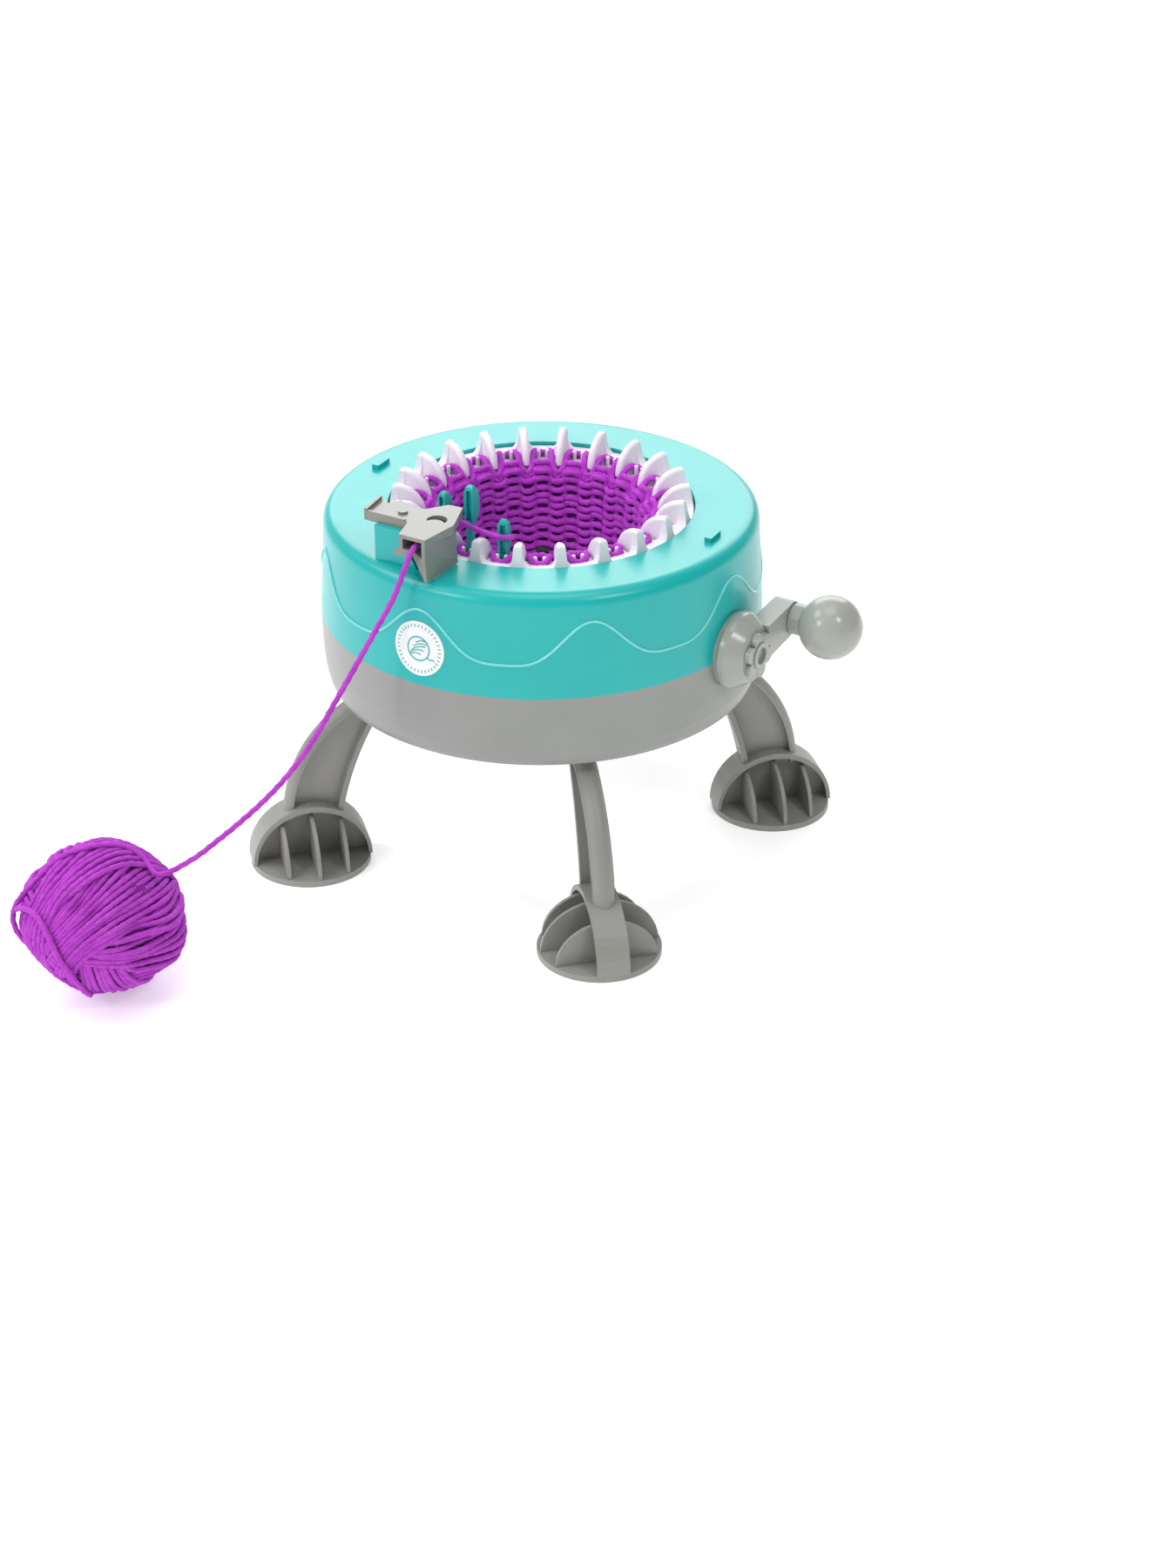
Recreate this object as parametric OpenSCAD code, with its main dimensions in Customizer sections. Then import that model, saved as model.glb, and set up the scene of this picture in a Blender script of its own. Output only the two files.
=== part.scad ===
// Circular hand-cranked knitting machine on four arched legs, with the yarn that feeds it.
// Frame: +Z up, origin on the floor under the middle of the machine's bounding box, the crank points
// along +X, and the yarn guide stands at -Y. Lengths are millimetres.
// Each module is drawn about the drum's axis, and placed() moves it into the frame.

/* [Drum] */
// Radius of the cover at its top edge
cover_r = 100; // [96:1:102]
// Radius of the drum at the seam between cover and lower casing
seam_r = 102.3; // [102:0.1:104]
// Height of the cover's top face above the floor
cover_top_z = 172.3; // [171:0.1:175]
// Height of the seam
seam_z = 123.6; // [121:0.1:124]
// Height of the lower casing's underside
floor_z = 88; // [86:0.5:89]
// Radius of the round opening in the cover
opening_r = 70.5; // [70.3:0.1:72]
// Wall thickness of the mouldings
wall = 2.5; // [2:0.1:3]

/* [Needle bed] */
// Number of needles, and of fins between them
needle_count = 22; // [22:1:22]
// Height of a needle's tip when it is fully down
needle_tip_z = 164; // [162:0.5:164]
// Width of a needle along the circle
needle_w = 3; // [2.4:0.1:3]
// Angle of the first fin
fin_phase = 15.14; // [15.14:0.01:15.14]
// Angle at which the cam lifts the needles most
cam_peak = -93.7; // [-95:0.1:-92]
// Height of the fins' outer corners
fin_top_z = 181.6; // [179:0.1:182.5]

/* [Crank] */
// Height of the crank's axis
crank_z = 124.3; // [124:0.1:124.5]
// Length of the crank arm, axis to axis
arm_len = 32.1; // [30:0.1:33]
// Direction of the crank arm above +Y
arm_tilt = 10; // [0:1:60]
// Radius of the knob's ball
knob_r = 14.8; // [13:0.1:15.5]

/* [Legs] */
// Distance of each foot's centre from the drum's axis
foot_r = 113.2; // [112:0.1:115]
// Radius of a foot
foot_disc_r = 28.4; // [27:0.1:29]

/* [Yarn] */
// Diameter of the yarn
yarn_d = 2.9; // [2.7:0.1:3.1]
// Radius of the yarn ball
ball_r = 37; // [35:0.5:37]
// Height of the yarn ball
ball_h = 66; // [65:1:70]

/* [Hidden] */
$fn = 96;

teal = [0.16, 0.70, 0.69];
casing_grey = [0.58, 0.59, 0.58];
leg_grey = [0.53, 0.52, 0.50];
pale_grey = [0.70, 0.72, 0.69];
white = [0.93, 0.91, 0.93];
steel = [0.70, 0.70, 0.72];
purple = [0.66, 0.22, 0.72];
eps = 0.02;

// Drum
top_fillet = 6;
screw_ring_r = 91;
screw_angle = 22.5;
boss_r = 4.5;
casing_hole_r = 48;
leg_angles = [225, 315, 135, 45];
leg_screw_r = 80;
leg_screw_len = 10;

// Needle bed, from the inside outwards
pitch_angle = 360 / needle_count;
bed_in_r = 54.6;
bed_wall_r = 64;
bed_out_r = 69.8;
slot_w = needle_w + 0.4;
slot_floor_r = 55.4;
head_w = 5;
window_w = head_w + 0.5;
window_out_r = 58.7;
crown_z = 160;
crown_top_z = 168;
rim_in_r = 63.5;
rim_top_z = 170.5;
fin_w = 3.7;
flange_z = 93;
needle_in_r = 55.8;
needle_out_r = 58.3;
head_in_r = 53.3;
butt_out_r = 70.4;
butt_z = 104.5;
cam_in_r = 71;
cam_half_angle = 46.2;
lift_peak = 38.3;

// Gear train: a crown of face teeth and a spur pinion above it, six turns to one
ring_teeth = 90;
pinion_teeth = 15;
ring_pitch_r = 78;
pinion_pitch_r = ring_pitch_r * pinion_teeth / ring_teeth;
mesh_z = crank_z - pinion_pitch_r;
tooth_half = 1.12;
addendum = 1.15;
dedendum = 1.9;
flank = tan(20);
gear_in_r = 75.4;
gear_out_r = 81;

// Crank
shaft_r = 6;
bush_face_x = 102.6;
hub_x = 103;
hub_face_x = 113.5;
arm_face_x = 115.6;
knob_x = 134.4;
pin_x0 = 108;
pin_x1 = knob_x - 7;
arm_y = arm_len * cos(arm_tilt);
arm_z = crank_z + arm_len * sin(arm_tilt);

// From the drum's axis to the middle of the machine's bounding box
origin_x = (knob_x + knob_r - foot_r * cos(45) - foot_disc_r) / 2;

// Yarn guide
guide_z = 193;
plate_t = 4;
block_z = guide_z - plate_t;

// Yarn: the strand's route from the guide's mouth down to the ball
ball_x = -94;
ball_y = -217;
strand_route = [
    [-2.6, -99.8, 188], [-2.8, -101.8, 187], [-3.2, -103.4, 184], [-5, -105.6, 176.5],
    [-8.4, -109, 165], [-12.8, -115, 153], [-17, -121.6, 141], [-20.8, -128, 130],
    [-24.4, -134.4, 119.5], [-28.4, -141, 108], [-32.6, -148, 98], [-37, -156.4, 89],
    [-41.6, -165.6, 81.6], [-46.6, -175.6, 75], [-52, -186, 68.8], [-57.6, -196.4, 63.2],
    [-63.6, -205.4, 58.4], [-68, -210, 54]
];

function needle_angle(i) = fin_phase + (i - 0.5) * pitch_angle;
function wrapped(a) = (((a + 180) % 360) + 360) % 360 - 180;
function cam_lift(a) = let (d = abs(wrapped(a - cam_peak)))
    d < cam_half_angle ? lift_peak * pow(cos(90 * d / cam_half_angle), 2) : 0;
function arc_points(cx, cz, rx, rz, from, to, n) =
    [for (k = [0:n]) let (a = from + (to - from) * k / n) [cx + rx * cos(a), cz + rz * sin(a)]];

module placed() {
    translate([-origin_x, 0, 0]) children();
}

// Puts a radial-plane profile (radius, height) at an angle, w wide along the circle
module radial_plate(angle, w) {
    rotate([0, 0, angle]) rotate([90, 0, 0])
        translate([0, 0, -w / 2]) linear_extrude(height = w) children();
}

module along_x(x0, x1, r) {
    translate([x0, 0, crank_z]) rotate([0, 90, 0]) cylinder(h = x1 - x0, r = r);
}

module around(count, phase) {
    for (k = [0:count - 1]) rotate([0, 0, phase + k * 360 / count]) children();
}

// Outer outlines of the two halves of the drum, used for the shells and for what sits against them
module cover_outline(t) {
    corner_r = cover_r - top_fillet;
    corner_z = cover_top_z - top_fillet;
    translate([corner_r, corner_z]) circle(r = top_fillet - t);
    polygon([
        [0, seam_z], [seam_r - t, seam_z], [cover_r - t, corner_z],
        [corner_r, corner_z], [corner_r, cover_top_z - t], [0, cover_top_z - t]
    ]);
}

module lower_outline(t) {
    polygon([
        [0, floor_z + t], [96, floor_z + t], [98.6 - t, floor_z + 1 + t], [99.7 - t, floor_z + 3.5 + t],
        [101 - t, floor_z + 9 + t], [101.8 - t, floor_z + 16], [102.1 - t, floor_z + 24],
        [seam_r - t, seam_z], [0, seam_z]
    ]);
}

module drum_solid() {
    rotate_extrude() cover_outline(0);
    rotate_extrude() lower_outline(0);
}

module cover_bosses(r, z0, z1) {
    around(4, screw_angle) translate([screw_ring_r, 0, z0]) cylinder(h = z1 - z0, r = r, $fn = 32);
}

// Raised block under the yarn guide, with the slanted face that leads the yarn in
module guide_block() {
    translate([0, -74, 0]) rotate([90, 0, 0]) linear_extrude(height = 16) polygon([
        [-30, cover_top_z - 1], [-30, block_z], [-16.5, block_z], [-15, 184], [-7.5, cover_top_z - 1]
    ]);
}

module top_cover() {
    placed() color(teal) difference() {
        union() {
            difference() {
                rotate_extrude() cover_outline(0);
                difference() {
                    rotate_extrude() cover_outline(wall);
                    cover_bosses(boss_r, seam_z, cover_top_z - wall + eps);
                }
                translate([0, 0, seam_z - 1]) cylinder(h = 60, r = opening_r);
            }
            guide_block();
        }
        along_x(90, 110, 10);
        cover_bosses(1.25, seam_z - 1, 141);
    }
}

module lower_casing() {
    column_r = 5;
    placed() color(casing_grey) difference() {
        union() {
            difference() {
                rotate_extrude() lower_outline(0);
                difference() {
                    rotate_extrude() lower_outline(wall);
                    cover_bosses(column_r, floor_z, seam_z + 1);
                }
                translate([0, 0, floor_z - 1]) cylinder(h = 40, r = casing_hole_r);
            }
            // Collar round the fabric's way out, and the rail that the needle bed turns on
            translate([0, 0, floor_z]) difference() {
                cylinder(h = 7, r = casing_hole_r + 2.5);
                translate([0, 0, -1]) cylinder(h = 9, r = casing_hole_r);
            }
            translate([0, 0, floor_z + wall - eps]) difference() {
                cylinder(h = flange_z - floor_z - wall - 0.4 + eps, r = 64);
                translate([0, 0, -1]) cylinder(h = 9, r = 61);
            }
        }
        along_x(90, 110, 10);
        cover_bosses(1.9, floor_z - 1, seam_z + 1);
        cover_bosses(3.4, floor_z - 1, floor_z + 6);
        around(4, 45) translate([leg_screw_r, 0, floor_z - 1]) cylinder(h = 5, r = 1.7, $fn = 32);
    }
}

// Two raised snap tabs on the cover's top face
module cover_clips() {
    placed() color(teal) for (angle = [4.5, 182.5]) rotate([0, 0, angle]) {
        translate([84.8, -5, cover_top_z]) cube([3.4, 10, 2.2]);
    }
}

// Fixed cam: a tube inside the drum with the track that the needle butts follow
module cam_ring() {
    steps = 17;
    step_angle = 2 * cam_half_angle / steps;
    step_w = 2 * cam_in_r * tan(step_angle / 2) + 0.6;
    track_h = 9;
    placed() color(casing_grey) difference() {
        union() {
            translate([0, 0, 98.5]) cylinder(h = cover_top_z - wall - 98.5, r = 74);
            translate([0, 0, cover_top_z - wall - 2.5]) cylinder(h = 2.5, r = 80);
        }
        translate([0, 0, 90]) cylinder(h = 90, r = cam_in_r);
        rotate([0, 0, cam_peak + cam_half_angle])
            rotate_extrude(angle = 360 - 2 * cam_half_angle)
                translate([cam_in_r - 1, butt_z - 2]) square([2.6, track_h]);
        for (k = [0:steps - 1])
            let (mid = cam_peak - cam_half_angle + (k + 0.5) * step_angle)
                rotate([0, 0, mid]) translate([cam_in_r - 2, -step_w / 2, butt_z - 2 + cam_lift(mid)])
                    cube([3.7, step_w, track_h]);
    }
}

// Fixed bearing of the crank: a flange seated on the drum and a barrel through the wall
module crank_bushing() {
    placed() color(pale_grey) difference() {
        union() {
            difference() {
                along_x(97, bush_face_x, 17);
                drum_solid();
            }
            along_x(91, bush_face_x - 1, 9.95);
        }
        along_x(85, 110, shaft_r + 0.06);
    }
}

// Yarn guide: a plate with one arm on the block, a channel for the yarn and slanted lead-in flaps
module yarn_guide() {
    plate = [
        [-10.5, -99.5], [-14, -87.3], [-35.5, -87.8], [-37.8, -72.8], [-31.4, -75.2], [-30, -69],
        [-26, -71.2], [-15.3, -72], [-8.7, -62.5], [-1.8, -62], [5, -79.6], [3, -99.5]
    ];
    placed() color(pale_grey) difference() {
        union() {
            translate([0, 0, block_z]) linear_extrude(height = plate_t) polygon(plate);
            // Rim along the arm's front edge and its raised end
            translate([-35.6, -87.8, guide_z - eps]) rotate([0, 0, 1]) cube([20, 1.2, 0.8 + eps]);
            translate([-36.9, -87.8, block_z]) rotate([0, 0, 8.7]) cube([1.6, 15, plate_t + 1.6]);
            // Channel walls under the plate
            translate([-10.5, -99.5, 184.5]) cube([1.8, 25, block_z - 184.5 + eps]);
            translate([1.2, -99.5, 182.5]) cube([1.8, 25, block_z - 182.5 + eps]);
            translate([0, -75, 0]) rotate([90, 0, 0]) linear_extrude(height = 24.5) polygon([
                [3, 182.4], [3.8, 173], [2.6, 173], [-3.8, 185], [-3, 186.2], [1.3, 183.6], [3, 184]
            ]);
            translate([0, -75, 0]) rotate([90, 0, 0]) linear_extrude(height = 24.5) polygon([
                [-10.5, 186.6], [-5.6, 186], [-5.4, 184.8], [-10, 182.6], [-13.4, 182.2], [-13.4, 184.6]
            ]);
            translate([-21.5, -80, guide_z - eps]) cylinder(h = 1, r = 2.2, $fn = 32);
        }
        // Crescent slot in the plate
        translate([-4.4, -78.6, block_z - 1]) difference() {
            cylinder(h = 8, r = 4.6, $fn = 48);
            translate([1.2, -4.4, -1]) cylinder(h = 10, r = 4.6, $fn = 48);
        }
        // Hollow under the plate's inner end, where the yarn runs to the needles
        translate([-8.7, -100, block_z - 1]) cube([9.9, 31, 3.2]);
        translate([-7.6, -70, block_z - 1]) cube([4.8, 9, 3.2]);
    }
}

// Round label on the skirt under the yarn guide
module round_badge() {
    placed() color(white) intersection() {
        translate([0, -110, 141]) rotate([-90, 0, 0]) cylinder(h = 20, r = 12.8);
        difference() {
            rotate_extrude() polygon([
                [90, 125], [seam_r + 0.4, 125], [cover_r + 0.45, cover_top_z - top_fillet],
                [90, cover_top_z - top_fillet]
            ]);
            drum_solid();
        }
    }
}

// Leg: web and flanges in the radial plane, on an arched foot with ribs and a round sole
module leg(angle) {
    web_t = 2.4;
    sole_t = 3;
    arch_top_z = 31;
    arch_w = 15;
    band_t = 1.8;
    leg_low_z = 26;
    placed() color(leg_grey) {
        // Web of the leg, between the inner and the outer curve
        difference() {
            radial_plate(angle, web_t) difference() {
                intersection() {
                    translate([58, 24]) circle(r = 66);
                    translate([60, leg_low_z]) square([80, floor_z - leg_low_z]);
                }
                translate([-52, -2]) circle(r = 152.6);
            }
            leg_screw_hole(angle);
        }
        // Inner flange
        radial_plate(angle, 11) difference() {
            intersection() {
                translate([-52, -2]) circle(r = 155);
                translate([60, leg_low_z]) square([80, floor_z - leg_low_z]);
            }
            translate([-52, -2]) circle(r = 152.4);
        }
        // Outer flange, half round on the outside
        rotate([0, 0, angle]) translate([58, 0, 24]) rotate([90, 0, 0])
            rotate_extrude(angle = 71) union() {
                intersection() {
                    translate([62.2, 0]) circle(r = 5.3, $fn = 64);
                    translate([64.2, -8]) square([10, 16]);
                }
                translate([63.4, -5.1]) square([1, 10.2]);
            }
        // Pad under the drum, with the pilot hole of its screw
        difference() {
            radial_plate(angle, 9.4) polygon([
                [74, floor_z], [85, floor_z], [85, 84], [83, 79.4], [76, 79.4]
            ]);
            leg_screw_hole(angle);
        }
        // Arched band, its central web, the ribs and the sole
        radial_plate(angle, arch_w) translate([foot_r, 0]) difference() {
            arch_outline(foot_disc_r, arch_top_z, sole_t);
            arch_outline(foot_disc_r - band_t, arch_top_z - band_t - 1, sole_t);
        }
        radial_plate(angle, web_t) translate([foot_r, 0])
            arch_outline(foot_disc_r - 1, arch_top_z - 1, sole_t - 1);
        rotate([0, 0, angle]) {
            translate([foot_r, 0, 0]) cylinder(h = sole_t, r = foot_disc_r);
            for (offset = [-14, 0, 14]) translate([foot_r + offset - 0.9, 0, 0])
                foot_rib(sqrt(pow(foot_disc_r - 1, 2) - offset * offset), offset == 0 ? 26.2 : 23);
        }
    }
}

module leg_screw_hole(angle) {
    rotate([0, 0, angle]) translate([leg_screw_r, 0, floor_z + wall - leg_screw_len])
        cylinder(h = leg_screw_len, r = 1.5, $fn = 32);
}

module arch_outline(r, top, bottom) {
    polygon(concat([[r, bottom]], arc_points(0, 3, r, top - 3, 0, 180, 24), [[-r, bottom]]));
}

module foot_rib(half_w, top) {
    rotate([90, 0, 90]) linear_extrude(height = 1.8)
        polygon(concat([[half_w, 2]], arc_points(0, 3, half_w, top - 3, 0, 180, 20), [[-half_w, 2]]));
}

module leg_front_left() { leg(leg_angles[0]); }
module leg_front_right() { leg(leg_angles[1]); }
module leg_rear_left() { leg(leg_angles[2]); }
module leg_rear_right() { leg(leg_angles[3]); }

// Screws that hold the lower casing to the cover's bosses, heads in the casing's columns
module casing_screws() {
    placed() color(steel) around(4, screw_angle) translate([screw_ring_r, 0, 0]) {
        translate([0, 0, floor_z + 6 - 2.2]) cylinder(h = 2.2, r = 3, $fn = 32);
        translate([0, 0, floor_z + 5]) cylinder(h = 45, r = 1.25, $fn = 32);
    }
}

// Screws that hold the legs, from inside the casing into the pads
module leg_screws() {
    placed() color(steel) around(4, 45) translate([leg_screw_r, 0, 0])
        translate([0, 0, floor_z + wall]) {
            cylinder(h = 1.8, r = 3, $fn = 32);
            translate([0, 0, -leg_screw_len]) cylinder(h = leg_screw_len + 1, r = 1.5, $fn = 32);
        }
}

// Slotted cylinder that carries the needles and turns on the casing's rail
module needle_cylinder() {
    placed() color(white) difference() {
        union() {
            translate([0, 0, flange_z]) cylinder(h = crown_z - flange_z, r = bed_wall_r);
            translate([0, 0, flange_z]) cylinder(h = 3.5, r = gear_out_r);
        }
        translate([0, 0, flange_z - 1]) cylinder(h = 80, r = bed_in_r);
        around(needle_count, needle_angle(1)) {
            translate([slot_floor_r, -slot_w / 2, 97]) cube([14, slot_w, 70]);
            translate([50, -window_w / 2, 142]) cube([window_out_r - 50, window_w, 20]);
        }
        around(6, 0) translate([ring_pitch_r, 0, flange_z - 1]) {
            cylinder(h = 6, r = 1.3, $fn = 32);
            cylinder(h = 2.6, r = 2.5, $fn = 32);
        }
    }
}

// Crown on the needle cylinder: a ring with a raised rim, the fins, and two pegs beside each needle
module fin_crown() {
    placed() color(white) difference() {
        union() {
            rotate_extrude() polygon([
                [bed_in_r, crown_z], [bed_out_r, crown_z], [bed_out_r, rim_top_z],
                [rim_in_r, rim_top_z], [rim_in_r, crown_top_z], [bed_in_r, crown_top_z]
            ]);
            around(needle_count, needle_angle(1)) for (side = [-1, 1]) {
                translate([59.9, side * 2.05, crown_top_z - 3]) peg(8);
                translate([58.9, side * 5.2 - 1.1, crown_top_z - 3]) cube([5.4, 2.2, 5.2]);
            }
            around(needle_count, fin_phase) fin();
        }
        around(needle_count, needle_angle(1))
            translate([50, -window_w / 2, crown_z - 1]) cube([window_out_r - 50, window_w, 20]);
    }
}

// Peg with a domed top
module peg(h) {
    rotate_extrude($fn = 32) polygon([
        [0, 0], [0.95, 0], [0.95, h - 0.7], [0.75, h - 0.25], [0.35, h], [0, h]
    ]);
}

// Fin along +X: a quarter disc with a rounded rim, and a bell-shaped buttress at its outer end
module fin() {
    centre_r = 67;
    base_z = crown_top_z - 0.4;
    disc_r = fin_top_z - base_z;
    translate([centre_r, 0, base_z]) rotate([-90, 0, 0])
        rotate([0, 0, 180]) rotate_extrude(angle = 90) {
            translate([0, -fin_w / 2]) square([disc_r - fin_w / 2, fin_w]);
            intersection() {
                translate([disc_r - fin_w / 2, 0]) circle(r = fin_w / 2, $fn = 48);
                translate([disc_r - fin_w, -fin_w]) square([2 * fin_w, 2 * fin_w]);
            }
        }
    intersection() {
        radial_plate(0, 14) polygon([
            [centre_r - 1.8, base_z - 0.3], [69.5, base_z - 0.3], [69.5, rim_top_z + 1],
            [centre_r + 0.8, fin_top_z - 1], [centre_r + 0.3, fin_top_z - 0.35],
            [centre_r - 1.8, fin_top_z - 0.35]
        ]);
        translate([60, 0, 0]) rotate([90, 0, 90]) linear_extrude(height = 12) bell(base_z - 1);
    }
}

// Outline of the buttress, seen along the radius
module bell(base_z) {
    half = [
        [4.9, base_z], [4.8, rim_top_z], [3.9, rim_top_z + 0.9], [3.1, rim_top_z + 2.2],
        [2.5, rim_top_z + 4], [2.2, rim_top_z + 6], [2, fin_top_z - 3], [1.95, fin_top_z - 1.4],
        [1.6, fin_top_z - 0.6], [0.9, fin_top_z]
    ];
    last = len(half) - 1;
    polygon(concat(half, [for (k = [0:last]) [-half[last - k][0], half[last - k][1]]]));
}

// Ring of face teeth under the drum's pinion
module ring_gear() {
    root_z = mesh_z - dedendum;
    placed() color(white) difference() {
        union() {
            translate([0, 0, flange_z + 3.5]) difference() {
                cylinder(h = root_z - flange_z - 3.5, r = gear_out_r);
                translate([0, 0, -1]) cylinder(h = 40, r = gear_in_r);
            }
            around(ring_teeth, 180 / ring_teeth) translate([gear_in_r, 0, mesh_z]) rotate([90, 0, 90])
                linear_extrude(height = gear_out_r - gear_in_r - 0.2) face_tooth();
        }
        around(6, 0) translate([ring_pitch_r, 0, flange_z]) cylinder(h = 10, r = 1.05, $fn = 32);
    }
}

module face_tooth() {
    low = -dedendum - 0.1;
    polygon([
        [-tooth_half + flank * low, low], [tooth_half - flank * low, low],
        [tooth_half - flank * addendum, addendum], [-tooth_half + flank * addendum, addendum]
    ]);
}

module gear_screws() {
    placed() color(steel) around(6, 0) translate([ring_pitch_r, 0, flange_z]) {
        translate([0, 0, 0.2]) cylinder(h = 1.4, r = 2.3, $fn = 32);
        translate([0, 0, 1]) cylinder(h = 8.5, r = 1.05, $fn = 32);
    }
}

// The tube of fabric that hangs from the needles: a plain soft solid
module knitted_tube() {
    placed() color(purple) rotate_extrude() polygon([
        [53, 163.5], [52.6, 150], [51.2, 135], [50, 120], [48.4, 108], [46.6, 97.5], [43.2, 97.5],
        [45, 108], [46.6, 120], [47.8, 135], [49.2, 150], [49.6, 163.5]
    ]);
}

module crank_shaft() {
    placed() color(steel) union() {
        along_x(gear_in_r - 0.1, hub_face_x - 0.5, shaft_r);
    }
}

// Spur pinion on the shaft's inner end, one tooth pointing straight down into the ring
module drive_pinion() {
    root_r = pinion_pitch_r - dedendum;
    tip_r = pinion_pitch_r + addendum;
    placed() color(white) translate([gear_in_r - 0.1, 0, crank_z]) rotate([90, 0, 90]) difference() {
        linear_extrude(height = 5.6) union() {
            circle(r = root_r);
            for (k = [0:pinion_teeth - 1]) rotate([0, 0, -90 + k * 360 / pinion_teeth]) polygon([
                [root_r - 0.5, -1.7], [root_r, -1.65], [pinion_pitch_r, -tooth_half], [tip_r, -0.5],
                [tip_r, 0.5], [pinion_pitch_r, tooth_half], [root_r, 1.65], [root_r - 0.5, 1.7]
            ]);
        }
        translate([0, 0, -1]) cylinder(h = 10, r = shaft_r + 0.01);
    }
}

// Crank: a rounded hub with the arm and the boss that the knob turns against
module crank_arm() {
    placed() color(pale_grey) difference() {
        union() {
            translate([hub_x, 0, crank_z]) rotate([90, 0, 90]) rotate_extrude() polygon([
                [0, 0], [17.7, 0], [18, 0.6], [17.8, 2.6], [17.2, 4.2], [16, 6], [14.6, 8],
                [13.4, 9.6], [12.6, 10.3], [11.8, hub_face_x - hub_x], [0, hub_face_x - hub_x]
            ]);
            translate([hub_x + 2.5, 0, crank_z]) rotate([90, 0, 90]) rotate([0, 0, arm_tilt])
                linear_extrude(height = arm_face_x - hub_x - 2.5) polygon(concat(
                    [[9.4, -6.6]], arc_points(arm_len, -2.4, 5, 5, -90, 0, 10),
                    arc_points(arm_len, 3.4, 5, 5, 0, 90, 10), [[9.4, 9.8]]
                ));
        }
        along_x(hub_x - 1, hub_face_x - 0.5, shaft_r + 0.01);
        translate([pin_x0, arm_y, arm_z]) rotate([0, 90, 0]) cylinder(h = 20, r = 3.01, $fn = 48);
    }
}

// Flower-shaped cap on the hub, with a round hollow in the middle
module flower_cap() {
    petals = 6;
    placed() color(pale_grey) translate([hub_face_x, 0, crank_z]) rotate([90, 0, 90]) difference() {
        union() {
            cylinder(h = 2.4, r = 6);
            for (k = [0:petals - 1]) rotate([0, 0, arm_tilt + 30 + k * 360 / petals])
                translate([7.4, 0, 0]) cylinder(h = 2.4, r = 3.8, $fn = 48);
            translate([0, 0, 2.3]) cylinder(h = 0.9, r = 6.2);
        }
        translate([0, 0, 1.4]) cylinder(h = 3, r = 4);
        rotate([0, 0, arm_tilt]) translate([9.36, -12, -1]) cube([8, 24, 6]);
    }
}

module knob_pin() {
    placed() color(steel) translate([pin_x0, arm_y, arm_z]) rotate([0, 90, 0])
        cylinder(h = pin_x1 - pin_x0, r = 3, $fn = 48);
}

module ball_knob() {
    neck_x = arm_face_x + 0.4;
    placed() color(pale_grey) translate([0, arm_y, arm_z]) rotate([90, 0, 90]) difference() {
        union() {
            translate([0, 0, knob_x]) sphere(r = knob_r);
            translate([0, 0, neck_x]) cylinder(h = 10, r = 7.3);
        }
        translate([0, 0, neck_x - 1]) cylinder(h = pin_x1 + 0.6 - neck_x + 1, r = 3.06, $fn = 48);
    }
}

// Needle: a flat shaft with a butt at its foot and a broad leaf-shaped head with a groove
module needle(i) {
    angle = needle_angle(i);
    tip = needle_tip_z;
    placed() color(teal) translate([0, 0, cam_lift(angle)]) {
        radial_plate(angle, needle_w) {
            translate([needle_in_r, 99]) square([needle_out_r - needle_in_r, tip - 18 - 99]);
            translate([needle_in_r + 0.5, butt_z]) square([butt_out_r - needle_in_r - 0.5, 5]);
        }
        difference() {
            intersection() {
                radial_plate(angle, head_w) polygon([
                    [needle_out_r, tip - 20], [needle_out_r, tip - 3], [57.7, tip - 1.1], [56.7, tip - 0.1],
                    [55.5, tip - 0.4], [54.2, tip - 2.6], [head_in_r, tip - 6.5],
                    [head_in_r, tip - 12], [54, tip - 15.5], [needle_in_r, tip - 20]
                ]);
                rotate([0, 0, angle]) translate([50, 0, 0]) rotate([90, 0, 90])
                    linear_extrude(height = 12) leaf(tip);
            }
            radial_plate(angle, 2.6) polygon([
                [56.6, tip - 17], [60, tip - 17], [60, tip - 2.4], [57.2, tip - 2.4], [56.6, tip - 4]
            ]);
        }
    }
}

// Outline of a needle's head, seen along the radius
module leaf(tip) {
    half = [
        [1.5, tip - 20], [2, tip - 17], [2.4, tip - 14], [2.5, tip - 11], [2.5, tip - 5],
        [2.3, tip - 2.6], [1.8, tip - 1], [1, tip]
    ];
    last = len(half) - 1;
    polygon(concat(half, [for (k = [0:last]) [-half[last - k][0], half[last - k][1]]]));
}

module needle_01() { needle(1); }
module needle_02() { needle(2); }
module needle_03() { needle(3); }
module needle_04() { needle(4); }
module needle_05() { needle(5); }
module needle_06() { needle(6); }
module needle_07() { needle(7); }
module needle_08() { needle(8); }
module needle_09() { needle(9); }
module needle_10() { needle(10); }
module needle_11() { needle(11); }
module needle_12() { needle(12); }
module needle_13() { needle(13); }
module needle_14() { needle(14); }
module needle_15() { needle(15); }
module needle_16() { needle(16); }
module needle_17() { needle(17); }
module needle_18() { needle(18); }
module needle_19() { needle(19); }
module needle_20() { needle(20); }
module needle_21() { needle(21); }
module needle_22() { needle(22); }

// Sweeps a round tube along points: a frame at each point, then one polyhedron
function unit(v) = v / norm(v);
function tangent(p, k) = unit(p[min(k + 1, len(p) - 1)] - p[max(k - 1, 0)]);
function side_of(t) = unit(cross(t, [1, 0, 0]));
function ring_at(p, k, r, n) = let (t = tangent(p, k), u = side_of(t), v = cross(t, u))
    [for (j = [0:n - 1]) p[k] + r * (u * cos(360 * j / n) + v * sin(360 * j / n))];

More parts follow.
